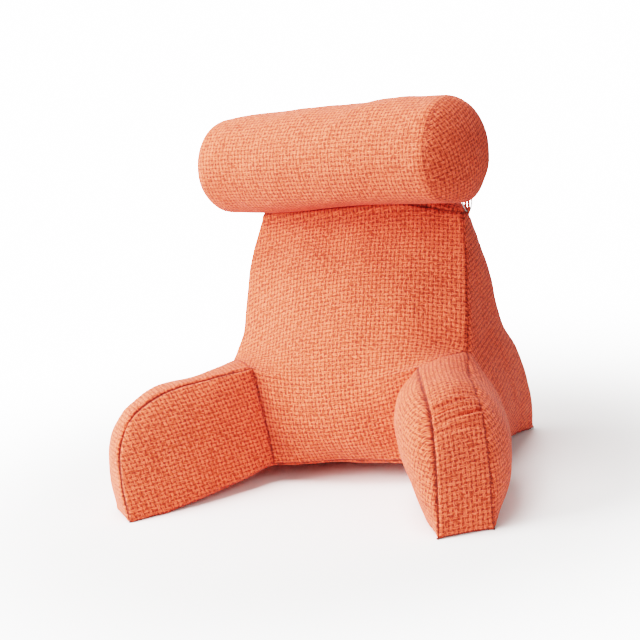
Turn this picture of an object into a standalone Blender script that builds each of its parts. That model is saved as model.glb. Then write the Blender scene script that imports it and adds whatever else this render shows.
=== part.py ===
"""Reading pillow with arms: a wedge back, two splayed arms and a roll across the top.

Metres, +Z up, front towards -Y. The cushion is drawn seam by seam: each cloth panel is a
patch between its seams, and the patches close into the filled back and the two filled arms.
The roll lies on the back's top edge and is held at each end by a ring between two cloth tabs.
"""
import bmesh
import bpy
import numpy as np
from mathutils import Matrix, Vector
from mathutils.bvhtree import BVHTree

GAP = 0.0003              # clearance between two pieces that touch
SIDES = {-1: "left", 1: "right"}

# The back: half-width, y and z along its seams. The two side seams differ a little, as sewn.
SIDE_SEAM = {-1: [(0.249, 0.078, 0.222), (0.232, 0.100, 0.263), (0.232, 0.130, 0.318),
                  (0.2325, 0.164, 0.380), (0.2285, 0.190, 0.428), (0.218, 0.210, 0.467),
                  (0.212, 0.218, 0.482)],
             1: [(0.248, 0.079, 0.227), (0.240, 0.115, 0.290), (0.231, 0.160, 0.372),
                 (0.222, 0.190, 0.428), (0.218, 0.206, 0.458)]}
REAR_SEAM = [(0.251, 0.341, 0.000), (0.260, 0.334, 0.045), (0.258, 0.324, 0.118), (0.248, 0.316, 0.171),
             (0.229, 0.307, 0.222), (0.224, 0.300, 0.270), (0.221, 0.293, 0.326), (0.213, 0.286, 0.372)]
REAR_TOP = {-1: (0.198, 0.272, 0.466), 1: (0.203, 0.275, 0.441)}
LAP_HALF = 0.142          # half-width of the lap at the foot of the front panel
LAP_LIFT = 0.035          # height of that foot over the floor, for the arms' slope
LAP_RAISE = {-1: -0.003, 1: 0.008}  # how the foot's two ends differ from that height
LAP_SAG = 0.020           # how far back the foot lies in the middle
SOLE_FLAT = 0.170         # the back's sole slopes down to here and lies flat behind it
WAIST = (0.296, 0.045, 0.010)     # where the arm's root ends at its foot, outside
REAR_FOOT_RISE = (0.258, 0.200, 0.024)  # the foot seam between waist and rear corner is drawn up
REAR_BULGE = 0.012        # how far back the rear foot and top seams bow
TOP_SEAM = [(-0.130, 0.205, 0.482), (0.140, 0.196, 0.478)]  # the front's top seam between its ends

# The front panel's crown line: height, and its place from front to back
CROWN_LINE = [(0.035, LAP_SAG), (0.080, -0.008), (0.140, -0.012), (0.220, 0.012),
              (0.300, 0.062), (0.380, 0.116), (0.480, 0.197)]

# The arms: each one's turn away from straight ahead and its outward lean, in radians
SPLAY = {-1: 0.662, 1: 0.538}
LEAN = {-1: 0.159, 1: 0.100}
ARM_LENGTH = 0.296
# An arm's inner seam from the crease over the top to the toe: reach, height, extra lean outward
ARM_OUTLINE = {-1: [(0.005, 0.191, 0.000), (0.088, 0.199, 0.000), (0.186, 0.203, 0.000),
                    (0.247, 0.184, 0.000), (0.286, 0.133, 0.000), (0.297, 0.075, 0.000),
                    (ARM_LENGTH, 0.000, 0.000)],
               1: [(0.024, 0.190, 0.012), (0.080, 0.199, 0.006), (0.180, 0.202, 0.000),
                   (0.241, 0.181, 0.000), (0.278, 0.131, 0.000), (0.288, 0.073, 0.000),
                   (0.294, 0.000, 0.000)]}
BAND_TOP, BAND_TOE = 0.086, 0.092  # width of the band where it leaves the crease and at the toe
OUTER_REACH = 0.983       # the outer seam's reach as a share of the inner seam's
FOOT_BOW = 0.008          # how far the inner foot seam bows towards the sitter
FOOT_SETTLE = 0.76        # share of the arm's length over which its foot comes down to the floor

# How far the middle of each panel stands out from a plain sheet between its seams
INNER_CROWN = {-1: 0.026, 1: 0.046}
CROWN = {"band": 0.010, "outer": 0.040, "flank": 0.012, "rear": 0.022, "top": 0.016}

# Segments between seam ends
N_WIDE, N_FOOT, N_BAND, N_SIDE, N_REACH, N_DEEP = 8, 4, 2, 5, 6, 4

# The roll
ROLL_RADIUS = 0.1022
ROLL_TAPER = 0.016        # gain of radius along the roll, towards its fuller right end
ROLL_HALF = 0.2475        # from its middle to an end seam
ROLL_DRAW = 0.0080        # how far the end seams draw in
ROLL_DOME = 0.056         # rise of each end disc
ROLL_CENTRE = (-0.0035, 0.158, 0.600)  # before it is lowered on to the back
ROLL_YAW, ROLL_TILT = -0.180, -0.017
ROLL_STEPS = 40

# The rings and their tabs: each ring stands on edge, facing sideways
RING_RADIUS, RING_WIRE = 0.0235, 0.0015
RING_CENTRE = {-1: (-0.200, 0.296, 0.503), 1: (0.2150, 0.2390, 0.4790)}
LOW_TAB_LEAN = {-1: 0.52, 1: 0.24}  # turn of the lower tab from straight down, in radians
LOW_TAB_LOOP = {-1: 0.000, 1: 0.018}  # slack height of the lower tab's loop inside the ring
TAB_WIDTH, TAB_THICK = 0.0095, 0.0012

# Finishes: colour, roughness and metalness
CLOTH = ((0.72, 0.17, 0.09), 0.9, 0.0)
METAL = ((0.78, 0.77, 0.76), 0.25, 1.0)


def curve(points, count):
    """A smooth line through the points, as count + 1 evenly spaced places.

    Places inside the line are set out a little, to undo the draw of the later smoothing.
    """
    points = np.asarray(points, float)
    chord = np.concatenate([[0], np.cumsum(np.linalg.norm(np.diff(points, axis=0), axis=1))])
    slope = np.gradient(points, chord, axis=0)
    fine = np.linspace(0, chord[-1], 40 * count + 1)
    cell = np.clip(np.searchsorted(chord, fine, side="right") - 1, 0, len(points) - 2)
    step = (chord[cell + 1] - chord[cell])[:, None]
    t = (fine - chord[cell])[:, None] / step
    line = ((2 * t**3 - 3 * t**2 + 1) * points[cell] + (t**3 - 2 * t**2 + t) * step * slope[cell]
            + (3 * t**2 - 2 * t**3) * points[cell + 1] + (t**3 - t**2) * step * slope[cell + 1])
    along = np.concatenate([[0], np.cumsum(np.linalg.norm(np.diff(line, axis=0), axis=1))])
    even = np.linspace(0, along[-1], count + 1)
    placed = np.stack([np.interp(even, along, line[:, axis]) for axis in range(3)], axis=1)
    placed[1:-1] -= (placed[:-2] - 2 * placed[1:-1] + placed[2:]) / 6
    return placed


def bowed(start, end, bow, count):
    """A line from start to end whose middle is moved by bow."""
    start, end = np.asarray(start, float), np.asarray(end, float)
    return curve([start, 0.5 * (start + end) + bow, end], count)


def join(*lines):
    """Lines laid end to end, without the doubled places."""
    return np.concatenate([lines[0]] + [line[1:] for line in lines[1:]])


def patch(low, high, left, right):
    """A sheet stretched between four seams: low and high run left to right, left and right run up."""
    u = np.linspace(0, 1, len(low))[None, :, None]
    v = np.linspace(0, 1, len(left))[:, None, None]
    corners = ((1 - u) * (1 - v) * low[0] + u * (1 - v) * low[-1]
               + (1 - u) * v * high[0] + u * v * high[-1])
    return (1 - v) * low[None] + v * high[None] + (1 - u) * left[:, None] + u * right[:, None] - corners


def crowned(grid, rise, skew=1.0):
    """The sheet pushed out along its own normals, most in the middle and not at all at its seams.

    A skew over 1 moves the fullest place up the sheet.
    """
    u = np.linspace(0, 1, grid.shape[1])[None, :, None]
    v = np.linspace(0, 1, grid.shape[0])[:, None, None] ** skew
    normal = np.cross(np.gradient(grid, axis=1), np.gradient(grid, axis=0))
    normal /= np.linalg.norm(normal, axis=2, keepdims=True)
    swell = (4 * u * (1 - u)) ** 0.7 * (4 * v * (1 - v)) ** 0.7
    return grid + rise * swell * normal


def arm_axes(side):
    """The arm's root at the lap, and its directions: ahead, up its leaning face, and outward."""
    turn, lean = SPLAY[side], LEAN[side]
    root = np.array([side * LAP_HALF, 0.0, LAP_LIFT])
    ahead = np.array([side * np.sin(turn), -np.cos(turn), -LAP_LIFT / ARM_LENGTH])
    outward = np.array([side * np.cos(turn), np.sin(turn), 0.0])
    up = np.array([0.0, 0.0, np.cos(lean)]) + outward * np.sin(lean)
    return root, ahead, up, outward


def arm_seams(side):
    """The seam lines of one side of the cushion, each named for what it joins."""
    root, ahead, up, outward = arm_axes(side)
    mirror = np.array([side, 1.0, 1.0])
    side_seam = np.array(SIDE_SEAM[side]) * mirror
    rear_seam = np.array(REAR_SEAM + [REAR_TOP[side]]) * mirror
    shoulder, waist = side_seam[0], np.array(WAIST) * mirror
    outline = np.array(ARM_OUTLINE[side])
    reach, height, lean_out = outline[:, :1], outline[:, 1:2], outline[:, 2:]
    inner = root + reach * ahead + height * up + lean_out * outward
    upright = height / height.max()
    width = BAND_TOE + (BAND_TOP - BAND_TOE) * upright
    across = outward - np.array([0.0, 0.0, 1.0]) * np.sin(LEAN[side]) * upright
    outer = inner + width * across - (1 - OUTER_REACH) * reach * ahead
    outer[0], outer[-1, 2], inner[-1, 2] = shoulder, 0.0, 0.0
    lap_foot = root + np.array([0.0, 0.0, LAP_RAISE[side]])
    return {
        "lap": bowed(lap_foot, inner[0], (-side * 0.004, -0.004, 0.0), N_FOOT),
        "crease": bowed(inner[0], shoulder, (0.0, 0.0, 0.004), N_BAND),
        "side": curve(side_seam, N_SIDE),
        "band_in": curve(inner, N_REACH + N_FOOT),
        "band_out": curve(outer, N_REACH + N_FOOT),
        "toe": bowed(inner[-1], outer[-1], (0.0, 0.0, 0.0), N_BAND),
        "foot_in": settled(bowed(lap_foot, inner[-1], -outward * FOOT_BOW, N_REACH)),
        "foot_out": settled(bowed(waist, outer[-1], -outward * 0.004, N_REACH)),
        "foot_rear": curve([waist, np.array(REAR_FOOT_RISE) * mirror, rear_seam[0]], N_DEEP),
        "root_foot": bowed(lap_foot, waist, (0.0, 0.0, 0.0), N_BAND),
        "root_out": bowed(waist, shoulder, (side * 0.020, 0.0, 0.0), N_FOOT),
        "rear": curve(rear_seam, N_FOOT + N_SIDE),
        "top": bowed(side_seam[-1], rear_seam[-1], (0.0, 0.0, 0.002), N_DEEP),
    }


def settled(line):
    """An arm's foot seam let down: it reaches the floor well before the toe and lies flat from there."""
    share = np.linspace(0, 1, len(line))
    line[:, 2] = line[0, 2] * np.clip(1 - share / FOOT_SETTLE, 0, None)
    return line


def front_panel(seams, foot, top):
    """The front panel: each row springs from the seams at its two ends to the crown line."""
    edge = {side: join(seams[side]["lap"], seams[side]["crease"], seams[side]["side"]) for side in SIDES}
    u = np.linspace(0, 1, N_WIDE + 1)[None, :, None]
    swell = 1 - np.abs(2 * u - 1) ** 2.3
    straight = (1 - u) * edge[-1][:, None] + u * edge[1][:, None]
    height, place = np.array(CROWN_LINE).T
    middle = np.linspace(height[0], height[-1], len(edge[1]))
    crown = np.stack([0 * middle, np.interp(middle, height, place), middle], axis=1)[:, None]
    rows = straight + swell * (crown - 0.5 * (edge[-1] + edge[1])[:, None])
    rows[0], rows[-1] = foot, top
    return rows


def arm_panels(side, seam):
    """The panels of one arm: inner face, band over top and front, outer face and sole."""
    top_in, front_in = seam["band_in"][:N_REACH + 1], seam["band_in"][N_REACH:][::-1]
    top_out, front_out = seam["band_out"][:N_REACH + 1], seam["band_out"][N_REACH:][::-1]
    inner = patch(seam["foot_in"], top_in, seam["lap"], front_in)
    band = patch(seam["band_in"], seam["band_out"], seam["crease"], seam["toe"])
    outer = patch(seam["foot_out"], top_out, seam["root_out"], front_out)
    sole = patch(seam["foot_in"], seam["foot_out"], seam["root_foot"], seam["toe"])
    return [crowned(inner, side * INNER_CROWN[side], 1.6), crowned(band, side * CROWN["band"]),
            crowned(outer, -side * CROWN["outer"]), sole]


def back_panels(seams):
    """The panels of the back: front, the two flanks, rear, top strip and sole."""
    left, right = seams[-1], seams[1]
    bow = (0.0, REAR_BULGE, 0.0)
    foot_front = bowed(left["lap"][0], right["lap"][0], (0.0, LAP_SAG, 0.0), N_WIDE)
    top_front = curve([left["side"][-1]] + TOP_SEAM + [right["side"][-1]], N_WIDE)
    foot_rear = bowed(left["rear"][0], right["rear"][0], bow, N_WIDE)
    top_rear = bowed(left["rear"][-1], right["rear"][-1], bow, N_WIDE)
    panels = [front_panel(seams, foot_front, top_front)]
    for side, seam in seams.items():
        flank = patch(seam["foot_rear"], seam["top"], join(seam["root_out"], seam["side"]), seam["rear"])
        panels.append(crowned(flank, side * CROWN["flank"]))
    panels.append(crowned(patch(foot_rear, top_rear, left["rear"], right["rear"]), -CROWN["rear"]))
    panels.append(crowned(patch(top_front, top_rear, left["top"], right["top"]), CROWN["top"]))
    foot_left = join(left["root_foot"], left["foot_rear"])
    foot_right = join(right["root_foot"], right["foot_rear"])
    sole = patch(foot_front, foot_rear, foot_left, foot_right)
    inside = sole[1:-1, 1:-1]
    inside[..., 2] = LAP_LIFT * np.clip((SOLE_FLAT - inside[..., 1]) / (SOLE_FLAT - LAP_SAG), 0, 1)
    return panels + [sole]


def sewn(name, panels, collection):
    """One closed cage from the panels, its seams kept crisp while the rest is smoothed."""
    points, faces, seams, start = [], [], [], 0
    for grid in panels:
        rows, columns = grid.shape[:2]
        index = start + np.arange(rows * columns).reshape(rows, columns)
        faces.append(np.stack([index[:-1, :-1], index[:-1, 1:], index[1:, 1:], index[1:, :-1]], -1)
                     .reshape(-1, 4))
        for line in (index[0], index[-1], index[:, 0], index[:, -1]):
            seams.append(np.stack([line[:-1], line[1:]], -1))
        points.append(grid.reshape(-1, 3))
        start += rows * columns
    points = np.concatenate(points)
    points[:, 2] = np.maximum(points[:, 2], 0.0)
    _, first, merged = np.unique(np.round(points * 1e5).astype(int), axis=0,
                                 return_index=True, return_inverse=True)
    merged = merged.reshape(-1)
    mesh = bpy.data.meshes.new(name)
    mesh.from_pydata(points[first].tolist(), [], merged[np.concatenate(faces)].tolist())
    key = np.array([len(first), 1])
    seam_keys = np.sort(merged[np.concatenate(seams)], axis=1) @ key
    ends = np.zeros(2 * len(mesh.edges), int)
    mesh.edges.foreach_get("vertices", ends)
    on_seam = np.isin(np.sort(ends.reshape(-1, 2), axis=1) @ key, seam_keys)
    crease = mesh.attributes.new("crease_edge", "FLOAT", "EDGE")
    crease.data.foreach_set("value", on_seam.astype(float))
    work = bmesh.new()
    work.from_mesh(mesh)
    bmesh.ops.recalc_face_normals(work, faces=work.faces)
    work.to_mesh(mesh)
    work.free()
    piece = place(name, mesh, material(name + "_cloth", *CLOTH), collection)
    smooth = piece.modifiers.new("smooth", "SUBSURF")
    smooth.levels = smooth.render_levels = 1
    return piece


def place(name, data, finish, collection):
    """A new object of this mesh or curve, in its finish and collection."""
    data.materials.append(finish)
    piece = bpy.data.objects.new(name, data)
    collection.objects.link(piece)
    return piece


def surface(piece):
    """The evaluated surface of a piece in world space, for measuring clearances."""
    bpy.context.view_layer.update()
    graph = bpy.context.evaluated_depsgraph_get()
    mesh = bpy.data.meshes.new_from_object(piece.evaluated_get(graph))
    mesh.transform(piece.matrix_world)
    points = [vertex.co.copy() for vertex in mesh.vertices]
    tree = BVHTree.FromPolygons(points, [tuple(face.vertices) for face in mesh.polygons])
    bpy.data.meshes.remove(mesh)
    return points, tree


def clearance(mover, support, direction):
    """How far the mover can go along the direction before it meets the support."""
    direction = Vector(direction)
    ways = []
    for (points, _), (_, tree), sense in ((mover, support, direction), (support, mover, -direction)):
        for point in points:
            hit = tree.ray_cast(point, sense)
            if hit[0] is not None:
                ways.append(hit[3])
    return min(ways)


def roll_axis():
    """The direction of the roll's length, towards its right end."""
    return Vector((np.cos(ROLL_YAW) * np.cos(ROLL_TILT), np.sin(ROLL_YAW) * np.cos(ROLL_TILT),
                   np.sin(ROLL_TILT)))


def roll_piece(collection):
    """The roll, turned: a full body, end seams drawn in, and a rounded dome on each end disc."""
    seam_radius = ROLL_RADIUS - ROLL_DRAW
    dome = [(seam_radius * share, ROLL_HALF + ROLL_DOME * np.sqrt(1 - share ** 2))
            for share in (0.0, 0.22, 0.44, 0.63, 0.79, 0.90, 0.97)]
    body = [(seam_radius, ROLL_HALF), (ROLL_RADIUS - 0.0042, ROLL_HALF - 0.006),
            (ROLL_RADIUS - 0.0020, ROLL_HALF - 0.024), (ROLL_RADIUS - 0.0010, ROLL_HALF - 0.090)]
    half = dome + body
    profile = half + [(ROLL_RADIUS, 0.0)] + [(radius, -height) for radius, height in reversed(half)]
    taper = ROLL_TAPER / ROLL_RADIUS
    mesh = bpy.data.meshes.new("roll")
    mesh.from_pydata([(radius * (1 + taper * height), 0.0, height) for radius, height in profile],
                     [(i, i + 1) for i in range(len(profile) - 1)], [])
    piece = place("roll", mesh, material("roll_cloth", *CLOTH), collection)
    turn = piece.modifiers.new("turn", "SCREW")
    turn.steps = turn.render_steps = ROLL_STEPS
    turn.use_merge_vertices = True
    turn.merge_threshold = 0.0001
    turned = roll_axis().to_track_quat("Z", "Y").to_matrix().to_4x4()
    piece.matrix_world = Matrix.Translation(ROLL_CENTRE) @ turned
    return piece


def arc(radius, start, end, count, lift=0.0):
    """Places along an arc about (0, lift)."""
    return [(radius * np.cos(a), lift + radius * np.sin(a)) for a in np.linspace(start, end, count)]


def tab_piece(name, centre, tail_way, loop, support, collection):
    """A cloth strip sewn to its support and folded round the wire at the centre.

    The support is the surface the tail points to; the loop is the slack height over the wire.
    """
    eye = RING_WIRE + TAB_WIDTH ** 2 / (8 * RING_RADIUS) + 2 * GAP
    outer = eye + TAB_THICK
    tail = 1.1 * TAB_THICK
    up, side = -Vector(tail_way).normalized(), Vector((1.0, 0.0, 0.0))
    wide = side.cross(up)
    spots = [centre + side * across + wide * along for across in (-tail, 0.0, tail)
             for along in (-TAB_WIDTH / 2, 0.0, TAB_WIDTH / 2)]
    reach = min(hit[3] for hit in (support.ray_cast(spot, -up) for spot in spots) if hit[0]) - GAP
    meet = np.arccos(tail / outer)
    outline = (arc(outer, 0, np.pi, 9, loop) + arc(outer, np.pi, np.pi + meet, 4)
               + [(-tail, -reach), (tail, -reach)] + arc(outer, -meet, 0, 4))
    hole = arc(eye, 0, np.pi, 9, loop) + arc(eye, np.pi, 2 * np.pi, 9)
    data = bpy.data.curves.new(name, "CURVE")
    data.dimensions, data.fill_mode, data.extrude = "2D", "BOTH", TAB_WIDTH / 2
    for line in (outline, hole):
        line = [spot for i, spot in enumerate(line) if np.hypot(*np.subtract(spot, line[i - 1])) > 1e-6]
        spline = data.splines.new("POLY")
        spline.points.add(len(line) - 1)
        spline.use_cyclic_u = True
        for point, (x, y) in zip(spline.points, line):
            point.co = (x, y, 0.0, 1.0)
    piece = place(name, data, material(name + "_cloth", *CLOTH), collection)
    piece.matrix_world = Matrix.Translation(centre) @ Matrix((side, up, wide)).transposed().to_4x4()
    return piece


def ring_piece(name, centre, collection):
    """A round wire ring that stands on edge, facing sideways."""
    bpy.ops.mesh.primitive_torus_add(major_radius=RING_RADIUS, minor_radius=RING_WIRE,
                                     major_segments=36, minor_segments=8)
    piece = bpy.context.object
    piece.name = piece.data.name = name
    piece.data.materials.append(material(name + "_metal", *METAL))
    for owner in list(piece.users_collection):
        owner.objects.unlink(piece)
    collection.objects.link(piece)
    piece.matrix_world = Matrix.Translation(centre) @ Matrix.Rotation(np.pi / 2, 4, "Y")
    return piece


def hang_ring(side, label, back, roll, roll_centre, collection):
    """A ring by the back's top corner, with a tab down to the back and a tab up to the roll."""
    centre = Vector(RING_CENTRE[side])
    lean = LOW_TAB_LEAN[side]
    low_way = Vector((0.0, -np.sin(lean), -np.cos(lean)))
    along = roll_axis()
    high_way = roll_centre + along * ((centre.x - roll_centre.x) / along.x) - centre
    high_way.normalize()
    return [ring_piece("ring_" + label, centre, collection),
            tab_piece("back_tab_" + label, centre + low_way * RING_RADIUS, low_way, LOW_TAB_LOOP[side],
                      back, collection),
            tab_piece("roll_tab_" + label, centre + high_way * RING_RADIUS, high_way, 0.0,
                      roll, collection)]


def material(name, colour, roughness, metallic):
    """A plain Principled finish."""
    finish = bpy.data.materials.new(name)
    finish.use_nodes = True
    shader = finish.node_tree.nodes["Principled BSDF"]
    shader.inputs["Base Color"].default_value = (*colour, 1.0)
    shader.inputs["Roughness"].default_value = roughness
    shader.inputs["Metallic"].default_value = metallic
    return finish


def centred(pieces):
    """Shift all pieces so that the origin is the middle of the whole cushion's box, at its bottom."""
    points = np.array([point for piece in pieces for point in surface(piece)[0]])
    low, high = points.min(axis=0), points.max(axis=0)
    shift = Matrix.Translation((-(low[0] + high[0]) / 2, -(low[1] + high[1]) / 2, -low[2]))
    for piece in pieces:
        piece.matrix_world = shift @ piece.matrix_world


def main():
    for thing in list(bpy.data.objects):
        bpy.data.objects.remove(thing)
    collection = bpy.data.collections.new("reading_pillow")
    bpy.context.scene.collection.children.link(collection)

    seams = {side: arm_seams(side) for side in SIDES}
    roots = {side: patch(seam["root_foot"], seam["crease"], seam["lap"], seam["root_out"])
             for side, seam in seams.items()}
    back = sewn("back", back_panels(seams) + list(roots.values()), collection)
    pieces = [back]
    for side, label in SIDES.items():
        clear = arm_axes(side)[1] * 1.4 * GAP
        panels = arm_panels(side, seams[side]) + [roots[side]]
        pieces.append(sewn("arm_" + label, [grid + clear for grid in panels], collection))

    roll = roll_piece(collection)
    fall = clearance(surface(roll), surface(back), (0.0, 0.0, -1.0)) - GAP
    roll.matrix_world = Matrix.Translation((0.0, 0.0, -fall)) @ roll.matrix_world
    pieces.append(roll)
    roll_centre = roll.matrix_world.translation.copy()
    for side, label in SIDES.items():
        pieces += hang_ring(side, label, surface(back)[1], surface(roll)[1], roll_centre, collection)
    centred(pieces)


main()
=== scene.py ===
"""Reading pillow with arms, dressed: woven cover, puckered seams, roll, rings and tabs.

Metres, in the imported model's frame: +Z up, front towards -Y, left and right as seen from the front.
Each cloth panel is a grid of points between its seams. The panels close into one cover for the back
with both arms, and one for the roll. Every shape is a formula worked out over whole arrays.
"""

import bpy
import numpy as np
from mathutils import Matrix, Vector


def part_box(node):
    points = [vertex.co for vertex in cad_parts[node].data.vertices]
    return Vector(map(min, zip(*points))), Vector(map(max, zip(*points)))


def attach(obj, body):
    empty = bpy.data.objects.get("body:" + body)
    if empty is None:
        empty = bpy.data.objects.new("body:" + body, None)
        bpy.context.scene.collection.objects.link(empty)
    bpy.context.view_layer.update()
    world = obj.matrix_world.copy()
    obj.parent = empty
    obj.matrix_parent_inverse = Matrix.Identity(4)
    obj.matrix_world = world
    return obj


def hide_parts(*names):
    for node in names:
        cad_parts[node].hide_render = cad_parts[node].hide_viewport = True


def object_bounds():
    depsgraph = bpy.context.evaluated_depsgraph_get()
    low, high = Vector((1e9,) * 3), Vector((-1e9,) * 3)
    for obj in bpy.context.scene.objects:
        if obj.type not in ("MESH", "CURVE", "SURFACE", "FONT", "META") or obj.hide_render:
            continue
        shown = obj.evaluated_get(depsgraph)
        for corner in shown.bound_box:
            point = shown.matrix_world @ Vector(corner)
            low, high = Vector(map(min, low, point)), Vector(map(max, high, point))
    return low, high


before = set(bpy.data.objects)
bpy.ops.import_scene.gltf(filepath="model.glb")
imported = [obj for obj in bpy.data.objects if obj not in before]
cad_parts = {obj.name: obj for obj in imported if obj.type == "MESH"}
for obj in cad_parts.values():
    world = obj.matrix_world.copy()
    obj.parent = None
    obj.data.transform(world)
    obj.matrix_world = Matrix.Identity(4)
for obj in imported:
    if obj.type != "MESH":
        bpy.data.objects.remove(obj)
cad_box = [list(corner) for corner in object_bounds()]

SIDES = {-1: "left", 1: "right"}

# ---- the seam lines and sizes of the solids, in the drawing's own frame ----

SIDE_SEAM = {-1: [(0.249, 0.078, 0.222), (0.232, 0.100, 0.263), (0.232, 0.130, 0.318),
                  (0.2325, 0.164, 0.380), (0.2285, 0.190, 0.428), (0.218, 0.210, 0.467),
                  (0.212, 0.218, 0.482)],
             1: [(0.248, 0.079, 0.227), (0.240, 0.115, 0.290), (0.231, 0.160, 0.372),
                 (0.222, 0.190, 0.428), (0.218, 0.206, 0.458)]}
REAR_SEAM = [(0.251, 0.341, 0.000), (0.260, 0.334, 0.045), (0.258, 0.324, 0.118),
             (0.248, 0.316, 0.171), (0.229, 0.307, 0.222), (0.224, 0.300, 0.270),
             (0.221, 0.293, 0.326), (0.213, 0.286, 0.372)]
REAR_TOP = {-1: (0.198, 0.272, 0.466), 1: (0.203, 0.275, 0.441)}
LAP_HALF, LAP_LIFT, LAP_SAG = 0.142, 0.035, 0.020
LAP_RAISE = {-1: -0.003, 1: 0.008}
SOLE_FLAT = 0.170
WAIST, REAR_FOOT_RISE, REAR_BULGE = (0.296, 0.045, 0.010), (0.258, 0.200, 0.024), 0.012
TOP_SEAM = [(-0.130, 0.205, 0.482), (0.140, 0.196, 0.478)]
# Height and place of the front panel's middle line
CROWN_LINE = [(0.035, LAP_SAG), (0.080, -0.008), (0.140, -0.012), (0.220, 0.012),
              (0.300, 0.062), (0.380, 0.116), (0.480, 0.197)]
SPLAY = {-1: 0.662, 1: 0.538}
LEAN = {-1: 0.159, 1: 0.100}
ARM_LENGTH = 0.296
ARM_OUTLINE = {-1: [(0.005, 0.191, 0.000), (0.088, 0.199, 0.000), (0.186, 0.203, 0.000),
                    (0.247, 0.184, 0.000), (0.286, 0.133, 0.000), (0.297, 0.075, 0.000),
                    (ARM_LENGTH, 0.000, 0.000)],
               1: [(0.024, 0.190, 0.012), (0.080, 0.199, 0.006), (0.180, 0.202, 0.000),
                   (0.241, 0.181, 0.000), (0.278, 0.131, 0.000), (0.288, 0.073, 0.000),
                   (0.294, 0.000, 0.000)]}
BAND_TOP, BAND_TOE, OUTER_REACH = 0.086, 0.092, 0.983   # widths; the outer face's share of the reach
FOOT_SETTLE = 0.76                        # share of an arm's foot seam where it reaches the floor
RIGHT_RING = (0.2150, 0.2390, 0.4790)
ROLL_RADIUS, ROLL_TAPER, ROLL_HALF, ROLL_DOME = 0.1022, 0.016, 0.2475, 0.056
ROLL_YAW, ROLL_TILT = -0.180, -0.017
RING_RADIUS, RING_WIRE = 0.0235, 0.0015

# How far the middle of each nearly straight seam is moved off its chord
LAP_BOW, CREASE_BOW, TOP_BOW = 0.004, 0.004, 0.002
FOOT_BOW, OUTER_FOOT_BOW, ROOT_BOW = 0.008, 0.004, 0.020

# How far each panel swells between its seams, and the powers that make the swell blunt
CROWN = {"band": 0.009, "outer": 0.037, "flank": 0.011, "rear": 0.020, "top": 0.026}
INNER_CROWN = {-1: 0.024, 1: 0.042}
CROWN_BLUNT, INNER_LIFT = 0.7, 1.6        # the inner arm panel's crown sits above its middle
TOP_BLUNT, TOP_MORE_RIGHT = 0.30, 0.009   # the top strip bulges up to the roll, more at the right
SWELL_POWER = 2.3

# ---- grids ----

N_WIDE, N_FOOT, N_BAND, N_SIDE, N_REACH, N_DEEP = 8, 4, 2, 5, 6, 4   # segments of the seams
FINE, SEAM_CLOSE = 14, 0.55               # quads to a segment, and how they crowd near a seam
CURVE_STEPS, CROWN_STEPS, ARC_STEPS = 3001, 400, 200
ROLL_AROUND, ROLL_ALONG, ROLL_SHOULDER, ROLL_CLOSE = 216, 150, 12, 0.6
RING_AROUND, WIRE_AROUND = 96, 16
KEY_SCALE, KEY_SHIFT = 1e5, 0.137         # points in the same hundredth of a millimetre are one

# ---- relief of the cloth ----

GROOVE, GROOVE_WIDE = 0.0040, 0.0032      # depth and half-width of a sewn seam's groove
LIP, LIP_PLACE, LIP_WIDE = 0.0007, 0.0085, 0.0050   # the soft ridge beside it
GATHERS = ((0.00025, 0.0130, 0.0050), (0.0006, 0.0380, 0.0140))   # puckers: height, spacing, fade
RIPPLES, RIPPLE_SPANS, GATHER_SEED = 9, (0.75, 1.5), 11   # sines in a sum, from and to these lengths
SEAM_SHADE_WIDE, SEAM_NEAR = 0.0023, 0.02       # half-width of the painted shade line along a seam; how far a seam calms lumps
SEWING_SPREAD = 6                         # quads over which a seam's depth changes, each way
# How deep each seam is drawn in, from 0 to 1
LAP, CREASE, SIDE, BAND_IN, BAND_OUT, TOE = 0.28, 0.30, 0.40, 0.90, 0.28, 0.80
FOOT, TOP, REAR, ROLL_END, ROLL_JOIN = 0.80, 0.50, 0.60, 0.10, 0.20
INNER_EDGE = {-1: 0.90, 1: 0.30}
# Folds across a band: share of its length, depth, width, slant
FOLDS = ((0.462, 0.0018, 0.0045, 0.10), (0.496, 0.0034, 0.0036, -0.06),
         (0.528, 0.0028, 0.0033, 0.05), (0.566, 0.0036, 0.0038, -0.10),
         (0.612, 0.0016, 0.0050, 0.12))
FOLD_SHARE = {-1: 0.10, 1: 1.45}          # the left band is stuffed nearly smooth
# How a fold comes and goes across its band, and the share of the ridge beside it
FOLD_MEAN, FOLD_UNEVEN, FOLD_WAVE, FOLD_SHIFT, FOLD_RIDGE = 0.75, 0.45, 0.021, 1.9, 0.45
# Lumps of the filling: height, length, seed
COVER_LUMPS = ((0.0014, 0.120, 3), (0.0005, 0.045, 4))
ROLL_LUMPS = ((0.0014, 0.140, 5), (0.0006, 0.045, 6))
LUMPS_ABOVE = 0.02                        # below this height the floor calms them
EASE_REACH, EASE_ROUNDS, EASE_STEP = 0.055, 60, 4   # easing at an arm's root; step along the root
EASE_SEWN, EASE_ABOVE = 0.9, 0.004        # the seams and the floor that it leaves alone
EAR, EAR_WIDE = {-1: 0.0030, 1: 0.0075}, 0.0065   # the foot corners' points, where three seams meet
TUG_WIDE, TAB_FOOT = 0.014, (0.0058, 0.0046)   # a tab's pull; its foot from its low corner
ROLL_CLEAR, ROLL_PRESS = 0.0010, 0.0130   # how near the roll the cover lies; how far it is drawn
DISC_SHARE = 0.78                         # an end disc's seam, as a share of the dome's angle
END_NIP, END_NIP_WIDE = 0.0018, 0.06      # the roll's slight narrowing towards its ends
DENT, DENT_SOFT, DENT_TIP, DENT_FROM, DENT_TO = 0.018, 0.007, 0.19, -0.20, 0.08   # flat underside

# ---- how the cloth is cut: a turn in radians, slopes off the grain, and the discs' turn ----

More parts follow.
